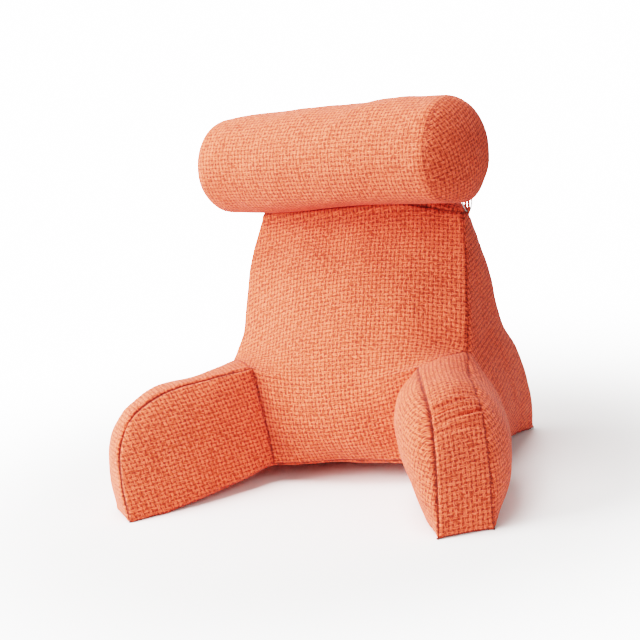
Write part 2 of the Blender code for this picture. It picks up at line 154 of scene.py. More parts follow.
FLANK_TURN, FRONT_SKEW, OUTER_SKEW, INNER_SKEW = 0.10, 0.08, 0.14, {-1: 0.05, 1: 0.20}
DISC_TURN = np.array([[0.96, -0.28], [0.28, 0.96]])

# ---- looks ----

WEAVE_CELL, YARN_SWAY = 0.0081, 0.0044    # a pair of yarns and its gap, and how far yarns wander
SWAY_SCALE, FIBRE_SCALE, PATCH_SCALE = 130.0, 600.0, 18.0   # to a metre: 7.7, 1.7 and 56 mm
YARN_ROUND, YARN_LIFT, YARN_ARCH = 1.3, 0.75, 0.30   # a yarn's round back, and its rise at crossings
PAIR_ROUND, PAIR_RISE, PAIR_LOW = 0.8, 0.70, 0.42   # the groove down the middle of a pair
SLUB_LONG, SLUB_WIDE, SLUB_SWING, SLUB_LOW = 0.9, 2.9, 2.8, -0.4   # thick and thin places
FIBRE_SHARE, PATCH_SHARE, SEAM_SHADE_SHARE = 0.60, 0.12, -0.80   # of fibres, patches, and the painted shade along the seams
CLOTH_RELIEF = 0.0012                     # depth of the weave in the bump
SHADED_HOLE, YARN, LIT_YARN_TOP = (0.06, "#661A06"), (0.42, "#B0391B"), (0.92, "#FF684B")   # height and colour: painted shade in the holes, the dye, painted highlight on the yarn tops
STEEL, STEEL_ROUGH, DIE_MARKS = "#C9C8C6", (0.20, 0.38), 900.0   # marks to a metre: 1.1 mm
FLOOR = "#F4F3F1"
FLOOR_FROM, FLOOR_TO = 0.5, 1.7           # the floor fades out between these ways from the origin
GLOW, BACKDROP = 0.06, 12.0               # the white studio as light, and as the camera sees it
LIGHT_AIM = (0.0, 0.0, 0.3)
LIGHTS = (("key", (-2.3, -1.5, 1.7), 1.6, 178), ("above", (-0.3, -0.3, 3.0), 1.6, 127),
          ("left", (-2.8, -0.2, 1.2), 1.6, 49), ("front", (0.6, -3.0, 1.4), 1.6, 23),
          ("fill", (2.6, -1.4, 1.4), 1.6, 38), ("low", (-2.2, -1.9, 0.5), 1.6, 74),
          ("back", (-0.8, 3.0, 1.6), 2.0, 60))   # name, place, size, watts
CAMERA_ANGLES, CAMERA_PLACE = (28.69, 10.87, -8.34), (1.2096, -2.2383, 0.791)   # degrees, metres
CAMERA_LENS, CAMERA_SENSOR = 78.75, 36.0  # millimetres

# The way from the drawing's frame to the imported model's, found from the right ring
DRAWING_TO_FRAME = np.array(0.5 * (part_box("ring_right")[0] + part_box("ring_right")[1])) - RIGHT_RING


# ---- lines and sheets ----

def shares(*counts):
    """Places from 0 to 1 along lines laid end to end, each with FINE times its count of steps.

    A line's parameter t becomes t - a sin(2 pi t) / (2 pi), so the steps are shorter at its ends.
    """
    parts, start = [np.zeros(1)], 0
    for count in counts:
        t = np.linspace(0, 1, FINE * count + 1)[1:]
        parts.append(start + count * (t - SEAM_CLOSE * np.sin(2 * np.pi * t) / (2 * np.pi)))
        start += count
    return np.concatenate(parts) / start


def lengths(line):
    """The way along a line to each of its points."""
    return np.concatenate([[0], np.cumsum(np.linalg.norm(np.diff(line, axis=0), axis=1))])


def curve(points, places):
    """A smooth line through the points: cubic Hermite pieces with central slopes.

    Its points lie at these shares of its length.
    """
    points = np.asarray(points, float)
    chord = lengths(points)
    slope = np.gradient(points, chord, axis=0)
    fine = np.linspace(0, chord[-1], CURVE_STEPS)
    cell = np.clip(np.searchsorted(chord, fine, side="right") - 1, 0, len(points) - 2)
    step = (chord[cell + 1] - chord[cell])[:, None]
    t = (fine - chord[cell])[:, None] / step
    line = ((2 * t**3 - 3 * t**2 + 1) * points[cell] + (t**3 - 2 * t**2 + t) * step * slope[cell]
            + (3 * t**2 - 2 * t**3) * points[cell + 1] + (t**3 - t**2) * step * slope[cell + 1])
    along = lengths(line)
    places = places * along[-1]
    return np.stack([np.interp(places, along, line[:, axis]) for axis in range(3)], axis=1)


def bowed(start, end, bow, places):
    """A line from start to end whose middle is moved by bow."""
    start, end = np.asarray(start, float), np.asarray(end, float)
    return curve([start, 0.5 * (start + end) + bow, end], places)


def join(*lines):
    """Lines laid end to end, without the doubled places."""
    return np.concatenate([lines[0]] + [line[1:] for line in lines[1:]])


def patch(low, high, left, right, u, v):
    """A Coons sheet: the ruled sheets between opposite seams, less the corners' bilinear one."""
    u, v = u[None, :, None], v[:, None, None]
    corners = ((1 - u) * (1 - v) * low[0] + u * (1 - v) * low[-1]
               + (1 - u) * v * high[0] + u * v * high[-1])
    return ((1 - v) * low[None] + v * high[None] + (1 - u) * left[:, None] + u * right[:, None]
            - corners)


def crowned(grid, rise, u, v, lift=1.0, blunt=CROWN_BLUNT):
    """The sheet pushed along its normals by rise (4u(1-u))^blunt (4w(1-w))^0.7, w = v^lift."""
    u, v = u[None, :, None], v[:, None, None] ** lift
    normal = np.cross(np.gradient(grid, axis=1), np.gradient(grid, axis=0))
    normal /= np.linalg.norm(normal, axis=2, keepdims=True)
    return grid + rise * (4 * u * (1 - u)) ** blunt * (4 * v * (1 - v)) ** CROWN_BLUNT * normal


def ways(grid):
    """Each point's way along its grid line to the low, high, left and right border."""
    up = np.diff(grid, axis=0, prepend=grid[:1])
    up = np.cumsum(np.linalg.norm(up, axis=2), axis=0)
    across = np.diff(grid, axis=1, prepend=grid[:, :1])
    across = np.cumsum(np.linalg.norm(across, axis=2), axis=1)
    return up, up[-1:] - up, across, across[:, -1:] - across


# ---- the cover's seams and panels ----

def arm_axes(side):
    """The arm's root at the lap, and its directions: ahead, up its leaning face, and outward."""
    turn, lean = SPLAY[side], LEAN[side]
    root = np.array([side * LAP_HALF, 0.0, LAP_LIFT])
    ahead = np.array([side * np.sin(turn), -np.cos(turn), -LAP_LIFT / ARM_LENGTH])
    outward = np.array([side * np.cos(turn), np.sin(turn), 0.0])
    up = np.array([0.0, 0.0, np.cos(lean)]) + outward * np.sin(lean)
    return root, ahead, up, outward


def settled(line):
    """An arm's foot seam let down: it reaches the floor before the toe and lies flat from there."""
    share = lengths(line)
    line[:, 2] = line[0, 2] * np.clip(1 - share / share[-1] / FOOT_SETTLE, 0, None)
    return line


def arm_seams(side):
    """The seam lines of one side of the cushion, each named for what it joins."""
    root, ahead, up, outward = arm_axes(side)
    mirror = np.array([side, 1.0, 1.0])
    side_seam = np.array(SIDE_SEAM[side]) * mirror
    rear_seam = np.array(REAR_SEAM + [REAR_TOP[side]]) * mirror
    shoulder, waist = side_seam[0], np.array(WAIST) * mirror
    outline = np.array(ARM_OUTLINE[side])
    reach, height, lean_out = outline[:, :1], outline[:, 1:2], outline[:, 2:]
    inner = root + reach * ahead + height * up + lean_out * outward
    upright = height / height.max()
    width = BAND_TOE + (BAND_TOP - BAND_TOE) * upright
    across = outward - np.array([0.0, 0.0, 1.0]) * np.sin(LEAN[side]) * upright
    outer = inner + width * across - (1 - OUTER_REACH) * reach * ahead
    outer[0], outer[-1, 2], inner[-1, 2] = shoulder, 0.0, 0.0
    lap_foot = root + np.array([0.0, 0.0, LAP_RAISE[side]])
    foot_rise = np.array(REAR_FOOT_RISE) * mirror
    straight = np.zeros(3)
    band, foot, reached, deep = shares(N_BAND), shares(N_FOOT), shares(N_REACH), shares(N_DEEP)
    return {
        "lap": bowed(lap_foot, inner[0], (-side * LAP_BOW, -LAP_BOW, 0.0), foot),
        "crease": bowed(inner[0], shoulder, (0.0, 0.0, CREASE_BOW), band),
        "side": curve(side_seam, shares(N_SIDE)),
        "band_in": curve(inner, shares(N_REACH, N_FOOT)),
        "band_out": curve(outer, shares(N_REACH, N_FOOT)),
        "toe": bowed(inner[-1], outer[-1], straight, band),
        "foot_in": settled(bowed(lap_foot, inner[-1], -outward * FOOT_BOW, reached)),
        "foot_out": settled(bowed(waist, outer[-1], -outward * OUTER_FOOT_BOW, reached)),
        "foot_rear": curve([waist, foot_rise, rear_seam[0]], deep),
        "root_foot": bowed(lap_foot, waist, straight, band),
        "root_out": bowed(waist, shoulder, (side * ROOT_BOW, 0.0, 0.0), foot),
        "rear": curve(rear_seam, shares(N_FOOT, N_SIDE)),
        "top": bowed(side_seam[-1], rear_seam[-1], (0.0, 0.0, TOP_BOW), deep),
    }


def front_grid(seams, foot, top, u, v):
    """The front panel: rows spring from the side seams to the crown line by 1 - |2u - 1|^2.3."""
    edge = {side: join(seams[side]["lap"], seams[side]["crease"], seams[side]["side"])
            for side in SIDES}
    swell = 1 - np.abs(2 * u[None, :, None] - 1) ** SWELL_POWER
    straight = (1 - u[None, :, None]) * edge[-1][:, None] + u[None, :, None] * edge[1][:, None]
    height, place = np.array(CROWN_LINE).T
    line = curve(np.stack([0 * height, place, height], axis=1), np.linspace(0, 1, CROWN_STEPS))
    middle = height[0] + (height[-1] - height[0]) * v
    crown = np.stack([0 * middle, np.interp(middle, line[:, 2], line[:, 1]), middle], axis=1)
    rows = straight + swell * (crown[:, None] - 0.5 * (edge[-1] + edge[1])[:, None])
    segment = (N_FOOT + N_BAND + N_SIDE) * v[:, None, None]
    at_foot = np.clip(1 - segment, 0, 1)
    at_top = np.clip(segment - (N_FOOT + N_BAND + N_SIDE - 1), 0, 1)
    return rows + at_foot * (foot - rows[0]) + at_top * (top - rows[-1])


def sole_grid(foot_front, foot_rear, foot_left, foot_right, u, v):
    """The back's sole: flat behind SOLE_FLAT, rising to the lap, and drawn to its foot seams."""
    sole = patch(foot_front, foot_rear, foot_left, foot_right, u, v)
    ramp = LAP_LIFT * np.clip((SOLE_FLAT - sole[..., 1]) / (SOLE_FLAT - LAP_SAG), 0, 1)
    inside = np.minimum(np.minimum(u, 1 - u)[None] * N_WIDE,
                        np.minimum(v, 1 - v)[:, None] * (N_BAND + N_DEEP))
    sole[..., 2] += np.clip(inside, 0, 1) * (ramp - sole[..., 2])
    return sole


def panel(grid, facing, weave, low, high, left, right, folds=0.0):
    """A cloth panel: points, facing, weave places in metres, how far each border is sewn, folds."""
    return {"grid": grid, "facing": facing, "weave": weave, "folds": folds,
            "sewn": (low, high, left, right)}


def band_folds(length, across, side):
    """Cross folds where a band bends over the arm.

    A fold at a share s of the band's length L has d = length - s L - slant * across, and its height
    is -depth f (exp(-(d/w)^2) - 0.45 exp(-((d-2w)/w)^2)). f varies across the band as a sine.
    """
    depth = 0
    for number, (share, rise, wide, slant) in enumerate(FOLDS):
        way = length[None] - share * length[-1] - side * slant * across
        wave = np.sin(across / FOLD_WAVE + FOLD_SHIFT * number)
        fade = np.clip(FOLD_MEAN + FOLD_UNEVEN * wave, 0, 1)
        ridge = FOLD_RIDGE * np.exp(-((way - 2 * wide) / wide) ** 2)
        depth = depth - rise * fade * (np.exp(-(way / wide) ** 2) - ridge)
    return FOLD_SHARE[side] * depth


def flat_weave(grid, along, up):
    """Weave places of a nearly flat panel: its points measured along two directions."""
    return np.stack([grid @ np.asarray(along, float), grid @ np.asarray(up, float)], axis=2)


def slack(grid, flat):
    """How much longer the crowned sheet's lines are than the flat one's, from the middle out."""
    along, up = (ways(grid)[border] - ways(flat)[border] for border in (2, 0))
    middle = flat.shape[1] // 2, flat.shape[0] // 2
    return np.stack([along - along[:, middle[0], None], up - up[middle[1]]], axis=2)


def rising_weave(grid):
    """Weave places of a panel over a curved height: x, and the length of its middle column."""
    rise = lengths(grid[:, grid.shape[1] // 2])
    return np.stack([grid[..., 0], np.broadcast_to(rise[:, None], grid.shape[:2])], axis=2)


def sewing(*runs):
    """How deep a border is sewn: runs of segments and their depth, with a gradual change."""
    depth = np.repeat([depth for _, depth in runs], [count * FINE for count, _ in runs])
    depth = np.pad(np.append(depth, depth[-1]), SEWING_SPREAD, mode="edge")
    window = 2 * SEWING_SPREAD + 1
    return np.convolve(depth, np.ones(window) / window, mode="valid")


def side_panels(side, seam):
    """The panels of one side: flank, and the arm's inner face, band, outer face and sole.

    The flank and the outer face are one cloth, so the outer face's weave goes on from the flank's.
    """
    root, ahead, up, _ = arm_axes(side)
    along = np.array([0.0, np.cos(FLANK_TURN), np.sin(FLANK_TURN)])
    rising = np.array([0.0, -np.sin(FLANK_TURN), np.cos(FLANK_TURN)])
    split = N_REACH * FINE
    top_in, front_in = seam["band_in"][:split + 1], seam["band_in"][split:][::-1]
    top_out, front_out = seam["band_out"][:split + 1], seam["band_out"][split:][::-1]
    u, v, wide, deep = shares(N_REACH), shares(N_FOOT), shares(N_BAND), shares(N_DEEP)
    tall, long = shares(N_FOOT, N_SIDE), shares(N_REACH, N_FOOT)

    flank_front = join(seam["root_out"], seam["side"])
    flank = crowned(patch(seam["foot_rear"], seam["top"], flank_front, seam["rear"], deep, tall),
                    side * CROWN["flank"], deep, tall)
    inner_flat = patch(seam["foot_in"], top_in, seam["lap"], front_in, u, v)
    inner = crowned(inner_flat, side * INNER_CROWN[side], u, v, INNER_LIFT)
    band_flat = patch(seam["band_in"], seam["band_out"], seam["crease"], seam["toe"], long, wide)
    band = crowned(band_flat, side * CROWN["band"], long, wide)
    outer_flat = patch(seam["foot_out"], top_out, seam["root_out"], front_out, u, v)
    outer = crowned(outer_flat, -side * CROWN["outer"], u, v)
    sole = patch(seam["foot_in"], seam["foot_out"], seam["root_foot"], seam["toe"], u, wide)

    skew = INNER_SKEW[side]
    inner_weave = slack(inner, inner_flat) + flat_weave(inner - root, ahead - skew * up,
                                                        up + skew * ahead)
    length = lengths(band[band.shape[0] // 2])
    across = ways(band)[0] - 0.5 * ways(band)[0][-1:]
    band_weave = np.stack([across, np.broadcast_to(length[None], across.shape)], axis=2)
    root_weave = flat_weave(outer[:, :1], along, rising)
    high = outer @ up + slack(outer, outer_flat)[..., 1]
    ahead_way = ways(outer)[2]
    outer_weave = np.stack([root_weave[..., 0] - ahead_way,
                            root_weave[..., 1] + high - high[:, :1] + OUTER_SKEW * ahead_way],
                           axis=2)
    flank_seam = sewing((N_FOOT, 0.0), (N_SIDE, SIDE))
    return [
        panel(flank, side, flat_weave(flank, along, rising), FOOT, TOP, flank_seam, REAR),
        panel(inner, side, inner_weave, FOOT, INNER_EDGE[side], LAP, INNER_EDGE[side]),
        panel(band, side, band_weave, BAND_IN, BAND_OUT, CREASE, TOE,
              band_folds(length, across, side)),
        panel(outer, -side, outer_weave, FOOT, BAND_OUT, 0.0, BAND_OUT),
        panel(sole, -side, flat_weave(sole, (1, 0, 0), (0, 1, 0)), FOOT, FOOT, 0.0, TOE),
    ]


def cover_panels():
    """All panels of the cover, the seams at the arms' roots, and the foot corners.

    A foot corner comes with its side and with the middle of the foot that it belongs to.
    """
    seams = {side: arm_seams(side) for side in SIDES}
    left, right = seams[-1], seams[1]
    wide, bow = shares(N_WIDE), (0.0, REAR_BULGE, 0.0)
    foot_front = bowed(left["lap"][0], right["lap"][0], (0.0, LAP_SAG, 0.0), wide)
    top_front = curve([left["side"][-1]] + TOP_SEAM + [right["side"][-1]], wide)
    foot_rear = bowed(left["rear"][0], right["rear"][0], bow, wide)
    top_rear = bowed(left["rear"][-1], right["rear"][-1], bow, wide)
    front = front_grid(seams, foot_front, top_front, wide, shares(N_FOOT, N_BAND, N_SIDE))
    tall, deep = shares(N_FOOT, N_SIDE), shares(N_DEEP)
    rear = crowned(patch(foot_rear, top_rear, left["rear"], right["rear"], wide, tall),
                   -CROWN["rear"], wide, tall)
    top_rise = CROWN["top"] + TOP_MORE_RIGHT * wide[None, :, None]
    top = crowned(patch(top_front, top_rear, left["top"], right["top"], wide, deep),
                  top_rise, wide, deep, blunt=TOP_BLUNT)
    sole = sole_grid(foot_front, foot_rear, join(left["root_foot"], left["foot_rear"]),
                     join(right["root_foot"], right["foot_rear"]), wide, shares(N_BAND, N_DEEP))
    front_side = sewing((N_FOOT, LAP), (N_BAND, CREASE), (N_SIDE, SIDE))
    behind_root = sewing((N_BAND, 0.0), (N_DEEP, FOOT))
    off_grain = np.array([[1.0, -FRONT_SKEW], [FRONT_SKEW, 1.0]])
    level = (1, 0, 0), (0, 1, 0)
    panels = [
        panel(front, 1, rising_weave(front) @ off_grain, FOOT, TOP, front_side, front_side),
        panel(rear, -1, rising_weave(rear), FOOT, TOP, REAR, REAR),
        panel(top, 1, flat_weave(top, *level), TOP, TOP, TOP, TOP),
        panel(sole, -1, flat_weave(sole, *level), FOOT, FOOT, behind_root, behind_root),
    ]
    roots, corners = [], []
    for side, seam in seams.items():
        panels += side_panels(side, seam)
        roots += [seam["root_out"], seam["root_foot"]]
        arm_middle = 0.5 * (seam["root_foot"].mean(axis=0) + seam["toe"].mean(axis=0))
        back_middle = np.array([0.0, SOLE_FLAT, 0.0])
        corners += [(side, seam["toe"][0], arm_middle), (side, seam["toe"][-1], arm_middle),
                    (side, seam["rear"][0], back_middle)]
    return panels, np.concatenate(roots), corners


# ---- skins: panels closed into one mesh ----

def ripples(points, length, seed):
    """Uneven waves about one length long and one high: sines across seeded directions, summed."""
    dice = np.random.default_rng(seed)
    along = dice.normal(size=(RIPPLES, 3))
    spans = np.linalg.norm(along, axis=1) * length * dice.uniform(*RIPPLE_SPANS, RIPPLES)
    along *= 2 * np.pi / spans[:, None]
    waves = np.sin(points @ along.T + dice.uniform(0, 2 * np.pi, RIPPLES))
    return waves.sum(axis=-1) * np.sqrt(1 / RIPPLES)


def lumps(points, waves):
    """The filling's soft lumps: ripples of several heights and lengths, added."""
    return sum(rise * ripples(points, length, seed) for rise, length, seed in waves)


def seam_relief(part):
    """The cloth's height over its smooth shape beside its seams, how near it is, and painted seam
    shade.

    At a way d from a seam: a groove -g exp(-(d/w)^2), a ridge l exp(-((d-p)/q)^2), and gathers
    a r(seam point) (d/f) exp(1 - d/f), where r is a sum of uneven waves along the seam.
    """
    grid = part["grid"]
    ends = (grid[:1], grid[-1:], grid[:, :1], grid[:, -1:])
    height, near, line = (np.zeros(grid.shape[:2]) for _ in range(3))
    for border, (way, end, sewn) in enumerate(zip(ways(grid), ends, part["sewn"])):
        sewn = np.asarray(sewn, float)
        sewn = sewn[:, None] if border > 1 and sewn.ndim else sewn
        height += sewn * (LIP * np.exp(-((way - LIP_PLACE) / LIP_WIDE) ** 2)
                          - GROOVE * np.exp(-(way / GROOVE_WIDE) ** 2))
        for number, (rise, spacing, fade) in enumerate(GATHERS):
            uneven = ripples(end, spacing, GATHER_SEED + number)
            height += sewn * rise * uneven * way / fade * np.exp(1 - way / fade)
        near = np.maximum(near, sewn * np.exp(-way / SEAM_NEAR))
        # painted shade: a dark line along each seam, deeper where the seam is sewn deeper
        line = np.maximum(line, np.sqrt(sewn) * np.exp(-(way / SEAM_SHADE_WIDE) ** 2))
    return height + part["folds"], near, line


def normals(points, faces):
    """Each point's outward direction: the mean of its faces' cross products of diagonals."""
    corner = points[faces]
    cross = np.cross(corner[:, 2] - corner[:, 0], corner[:, 3] - corner[:, 1])
    total = np.stack([np.bincount(faces.ravel(), np.repeat(cross[:, axis], 4), len(points))
                      for axis in range(3)], axis=1)
    return total / np.linalg.norm(total, axis=1, keepdims=True)


def eased(points, faces, weight, rounds):
    """Points moved by weight towards the mean of their neighbours, for a number of rounds."""
    start, end = faces.ravel(), np.roll(faces, -1, axis=1).ravel()
    degree = np.bincount(start, minlength=len(points))[:, None]
    for _ in range(rounds):
        mean = np.stack([np.bincount(start, points[end, axis], len(points))
                         for axis in range(3)], axis=1)
        points = points + weight[:, None] * (mean / degree - points)
    return points


def closed_skin(parts):
    """Panels as one closed skin: points, faces, weave places of the face corners, and relief.

    Points that fall together along the seams become one, and their values are averaged.
    """
    faces, start = [], 0
    for part in parts:
        rows, columns = part["grid"].shape[:2]
        index = start + np.arange(rows * columns).reshape(rows, columns)
        quads = np.stack([index[:-1, :-1], index[:-1, 1:], index[1:, 1:], index[1:, :-1]], axis=-1)
        faces.append(quads.reshape(-1, 4)[:, ::part["facing"]])
        start += rows * columns
    faces = np.concatenate(faces)
    points = np.concatenate([part["grid"].reshape(-1, 3) for part in parts])
    weave = np.concatenate([part["weave"].reshape(-1, 2) for part in parts])
    relief = [seam_relief(part) for part in parts]
    key = np.round(points * KEY_SCALE + KEY_SHIFT).astype(int)
    merged = np.unique(key, axis=0, return_inverse=True)[1].reshape(-1)
    shared = np.bincount(merged)
    spread = [points[:, axis] for axis in range(3)]
    spread += [np.concatenate([item[field].ravel() for item in relief]) for field in range(3)]
    means = [np.bincount(merged, values) / shared for values in spread]
    return np.stack(means[:3], axis=1), merged[faces], weave[faces], means[3:]


def mesh_piece(name, points, faces, finish, corner_weave=None, line=None):
    """A shaded piece of these points and faces, riding on the root.

    Its weave places become a UV map, and the painted shade along its seams a point attribute.
    """
    mesh = bpy.data.meshes.new(name)
    mesh.from_pydata(points.tolist(), [], faces.tolist())
    if corner_weave is not None:
        layer = mesh.uv_layers.new(name="weave")
        layer.data.foreach_set("uv", corner_weave.astype(np.float32).ravel())
        # the painted shade along the seams, passed on to the cloth's colour
        seam_shade = mesh.attributes.new("seam_shade", "FLOAT", "POINT")
        seam_shade.data.foreach_set("value", line.astype(np.float32))
    mesh.polygons.foreach_set("use_smooth", np.ones(len(faces), bool))
    mesh.materials.append(finish)
    mesh.update()
    piece = bpy.data.objects.new(name, mesh)
    bpy.context.scene.collection.objects.link(piece)
    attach(piece, "root")
    return piece


def eared(points, corners):
    """Foot corners drawn out to small points: e exp(-d/w) away from the middle of the foot."""
    for side, corner, middle in corners:
        out = (corner - middle) / np.linalg.norm(corner - middle)
        way = np.linalg.norm(points - corner, axis=1)
        points = points + EAR[side] * np.exp(-way / EAR_WIDE)[:, None] * out
    return points


def tugged(points):
    """The cover drawn out to the feet of the rings' tabs.

    A point goes by t exp(-(d/w)^2), where d is its way from the point nearest the foot and t is the
    way from there to the foot.
    """
    for label in SIDES.values():
        low, high = (np.array(corner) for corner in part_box("back_tab_" + label))
        foot = np.array([0.5 * (low[0] + high[0]), low[1] + TAB_FOOT[0], low[2] + TAB_FOOT[1]])
        nearest = points[np.argmin(np.linalg.norm(points - foot, axis=1))]
        way = np.linalg.norm(points - nearest, axis=1)
        points = points + np.exp(-(way / TUG_WIDE) ** 2)[:, None] * (foot - nearest)
    return points


def cover_piece(finish, roll_centre):
    """The cover of the back and both arms, eased where flank and arm are one, then given relief."""
    parts, roots, corners = cover_panels()
    points, faces, corner_weave, (height, near, line) = closed_skin(parts)
    apart = points[:, None] - roots[None, ::EASE_STEP]
    span = np.min(np.linalg.norm(apart, axis=2), axis=1)
    free = (near < EASE_SEWN) * (points[:, 2] > EASE_ABOVE)
    points = eared(eased(points, faces, np.clip(1 - span / EASE_REACH, 0, 1) * free, EASE_ROUNDS),
                   corners)
    outward = normals(points, faces)
    calm = (1 - near) * np.clip(points[:, 2] / LUMPS_ABOVE, 0, 1)
    height = height + lumps(points, COVER_LUMPS) * calm
    points = points + height[:, None] * outward + DRAWING_TO_FRAME
    points = tugged(pressed(points, roll_centre))
    points[:, 2] = np.maximum(points[:, 2], 0.0)
    piece = mesh_piece("cover", points, faces, finish, corner_weave, line)
    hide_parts("back", "arm_left", "arm_right")


# ---- the roll and the rings ----

def roll_line():
    """The direction of the roll's length, towards its right end."""
    return np.array([np.cos(ROLL_YAW) * np.cos(ROLL_TILT), np.sin(ROLL_YAW) * np.cos(ROLL_TILT),
                     np.sin(ROLL_TILT)])


def roll_underside(place):
    """The roll's radius at a place along it, its flat underside's reach, and the way that faces.

    The underside is taken in by a smooth step from nothing at DENT_FROM to DENT at DENT_TO.
    """
    along = roll_line()
    across = np.cross((0.0, 0.0, 1.0), along) / np.hypot(along[0], along[1])
    facing = -np.cos(DENT_TIP) * np.cross(along, across) - np.sin(DENT_TIP) * across
    step = np.clip((place - DENT_FROM) / (DENT_TO - DENT_FROM), 0, 1)
    radius = ROLL_RADIUS + ROLL_TAPER * place
    return radius, radius - DENT * step * step * (3 - 2 * step), facing


def dented(points, centre):
    """The roll's points x beyond its flattened underside, moved back by k ln(1 + exp(x/k))."""
    place = np.clip((points - centre) @ roll_line(), -ROLL_HALF, ROLL_HALF)
    _, reach, facing = roll_underside(place)
    beyond = (points - centre) @ facing - reach
    return points - (DENT_SOFT * np.logaddexp(0, beyond / DENT_SOFT))[:, None] * facing


def pressed(points, centre):
    """Cloth under the roll drawn against it, and cloth inside it put out to a clearance c.

    A point at a gap g from the roll goes (g - c) exp(-((g - c)/w)^4) nearer.
    """
    along = roll_line()
    place = (points - centre) @ along
    spoke = points - centre - place[:, None] * along
    far = np.linalg.norm(spoke, axis=1)
    radius, reach, facing = roll_underside(place)
    slant = spoke @ facing / far
    taken = slant * DENT_SOFT * np.logaddexp(0, (radius * slant - reach) / DENT_SOFT)
    gap = far - radius + taken * (slant > 0) - ROLL_CLEAR
    move = np.where(gap > 0, gap * np.exp(-(gap / ROLL_PRESS) ** 4), gap)
    move *= np.abs(place) < ROLL_HALF
    return points - move[:, None] * spoke / far[:, None]


def roll_disc(end, rim_radius, rim):
    """The disc over one end: the dome's quarter ellipse turned about the axis, from its rim in.

    A square grid is fitted to the round rim, and its weave place is the arc length from the middle.
    """
    quarter = ROLL_AROUND // 4
    low, right = rim[:quarter + 1], rim[quarter:2 * quarter + 1]
    high, left = rim[2 * quarter:3 * quarter + 1][::-1], rim[3 * quarter:][::-1]
    even = np.linspace(0, 1, quarter + 1)
    disc = patch(low, high, left, right, even, even)
    share = np.clip(np.linalg.norm(disc, axis=2), 1e-9, 1)
    angle = 0.5 * np.pi * DISC_SHARE
    full = rim_radius / np.sin(angle)
    out = full * np.sin(angle * share) / share
    dome = np.stack([disc[..., 0] * out, disc[..., 1] * out,
                     end * (ROLL_HALF + ROLL_DOME * np.cos(angle * share))], axis=2)
    steps = np.linspace(0, 1, ARC_STEPS)
    arc = np.hypot(full * np.cos(angle * steps), ROLL_DOME * np.sin(angle * steps))
    spread = np.interp(share, steps, np.cumsum(arc) * angle / ARC_STEPS)
    weave = (spread / share)[..., None] * disc[..., :2] @ DISC_TURN
    return panel(dome, end, weave, ROLL_END, ROLL_END, ROLL_END, ROLL_END)


def roll_panels():
    """The roll about its own axis (z): a body panel of r(theta, h), and a disc over each end.

    r = R + k h - c exp(-d/e) for a distance d to the end. From there the profile goes on as a
    quarter ellipse, and the disc is sewn in at DISC_SHARE of its angle.
    """
    theta = np.linspace(0, 2 * np.pi, ROLL_AROUND + 1)
    t = np.linspace(0, 1, ROLL_ALONG + 1)
    h = ROLL_HALF * (2 * (t - ROLL_CLOSE * np.sin(2 * np.pi * t) / (2 * np.pi)) - 1)
    radius = (ROLL_RADIUS + ROLL_TAPER * h
              - END_NIP * np.exp((np.abs(h) - ROLL_HALF) / END_NIP_WIDE))
    bend = 0.5 * np.pi * np.linspace(1, DISC_SHARE, ROLL_SHOULDER + 1)[1:]
    radius = np.concatenate([radius[0] * np.sin(bend[::-1]), radius, radius[-1] * np.sin(bend)])
    shoulder = ROLL_HALF + ROLL_DOME * np.cos(bend)
    h = np.concatenate([-shoulder[::-1], h, shoulder])
    rim = np.stack([np.cos(theta), np.sin(theta), 0 * theta], axis=1)
    body = np.stack([radius[:, None] * rim[:, 0], radius[:, None] * rim[:, 1],
                     np.broadcast_to(h[:, None], (len(h), len(theta)))], axis=2)
    length = np.cumsum(np.hypot(np.diff(h, prepend=h[0]), np.diff(radius, prepend=radius[0])))
    around = np.broadcast_to(ROLL_RADIUS * theta[None], body.shape[:2])
    weave = np.stack([around, np.broadcast_to(length[:, None], body.shape[:2])], axis=2)
    return [panel(body, 1, weave, ROLL_END, ROLL_END, ROLL_JOIN, ROLL_JOIN),
            roll_disc(-1, radius[0], rim), roll_disc(1, radius[-1], rim)]


def roll_piece(finish):
    """The roll's cover, laid along its own direction where its solid lies. Returns its centre."""
    points, faces, corner_weave, (height, near, line) = closed_skin(roll_panels())
    outward = normals(points, faces)
    along = roll_line()
    across = np.cross((0.0, 0.0, 1.0), along)
    across /= np.linalg.norm(across)
    turn = np.stack([across, np.cross(along, across), along], axis=0)
    smooth = points @ turn
    low, high = (np.array(corner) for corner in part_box("roll"))
    centre = 0.5 * (low + high) - 0.5 * (smooth.min(axis=0) + smooth.max(axis=0))
    height = height + lumps(points, ROLL_LUMPS) * (1 - near)
    points = dented((points + height[:, None] * outward) @ turn + centre, centre)
    piece = mesh_piece("roll_cover", points, faces, finish, corner_weave, line)
    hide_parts("roll")
    return centre


def ring_piece(label, finish):
    """A round wire ring on edge, facing sideways: a circle carried round a larger one."""
    low, high = (np.array(corner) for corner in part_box("ring_" + label))
    around, about = np.meshgrid(np.arange(RING_AROUND) * 2 * np.pi / RING_AROUND,
                                np.arange(WIRE_AROUND) * 2 * np.pi / WIRE_AROUND, indexing="ij")
    out = RING_RADIUS + RING_WIRE * np.cos(about)
    points = np.stack([RING_WIRE * np.sin(about), out * np.cos(around), out * np.sin(around)],
                      axis=2)
    index = np.arange(RING_AROUND * WIRE_AROUND).reshape(RING_AROUND, WIRE_AROUND)
    ahead, beside = np.roll(index, -1, axis=0), np.roll(index, -1, axis=1)
    faces = np.stack([index, ahead, np.roll(ahead, -1, axis=1), beside], axis=-1).reshape(-1, 4)
    points = points.reshape(-1, 3) + 0.5 * (low + high)
    piece = mesh_piece("wire_ring_" + label, points, faces, finish)
    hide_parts("ring_" + label)


# ---- finishes ----

def linear(code):
    """An sRGB hex colour as linear red, green, blue and alpha."""
    channels = np.array([int(code[i:i + 2], 16) for i in (1, 3, 5)]) / 255
    bright = np.where(channels > 0.04045, ((channels + 0.055) / 1.055) ** 2.4, channels / 12.92)
    return (*bright.tolist(), 1.0)


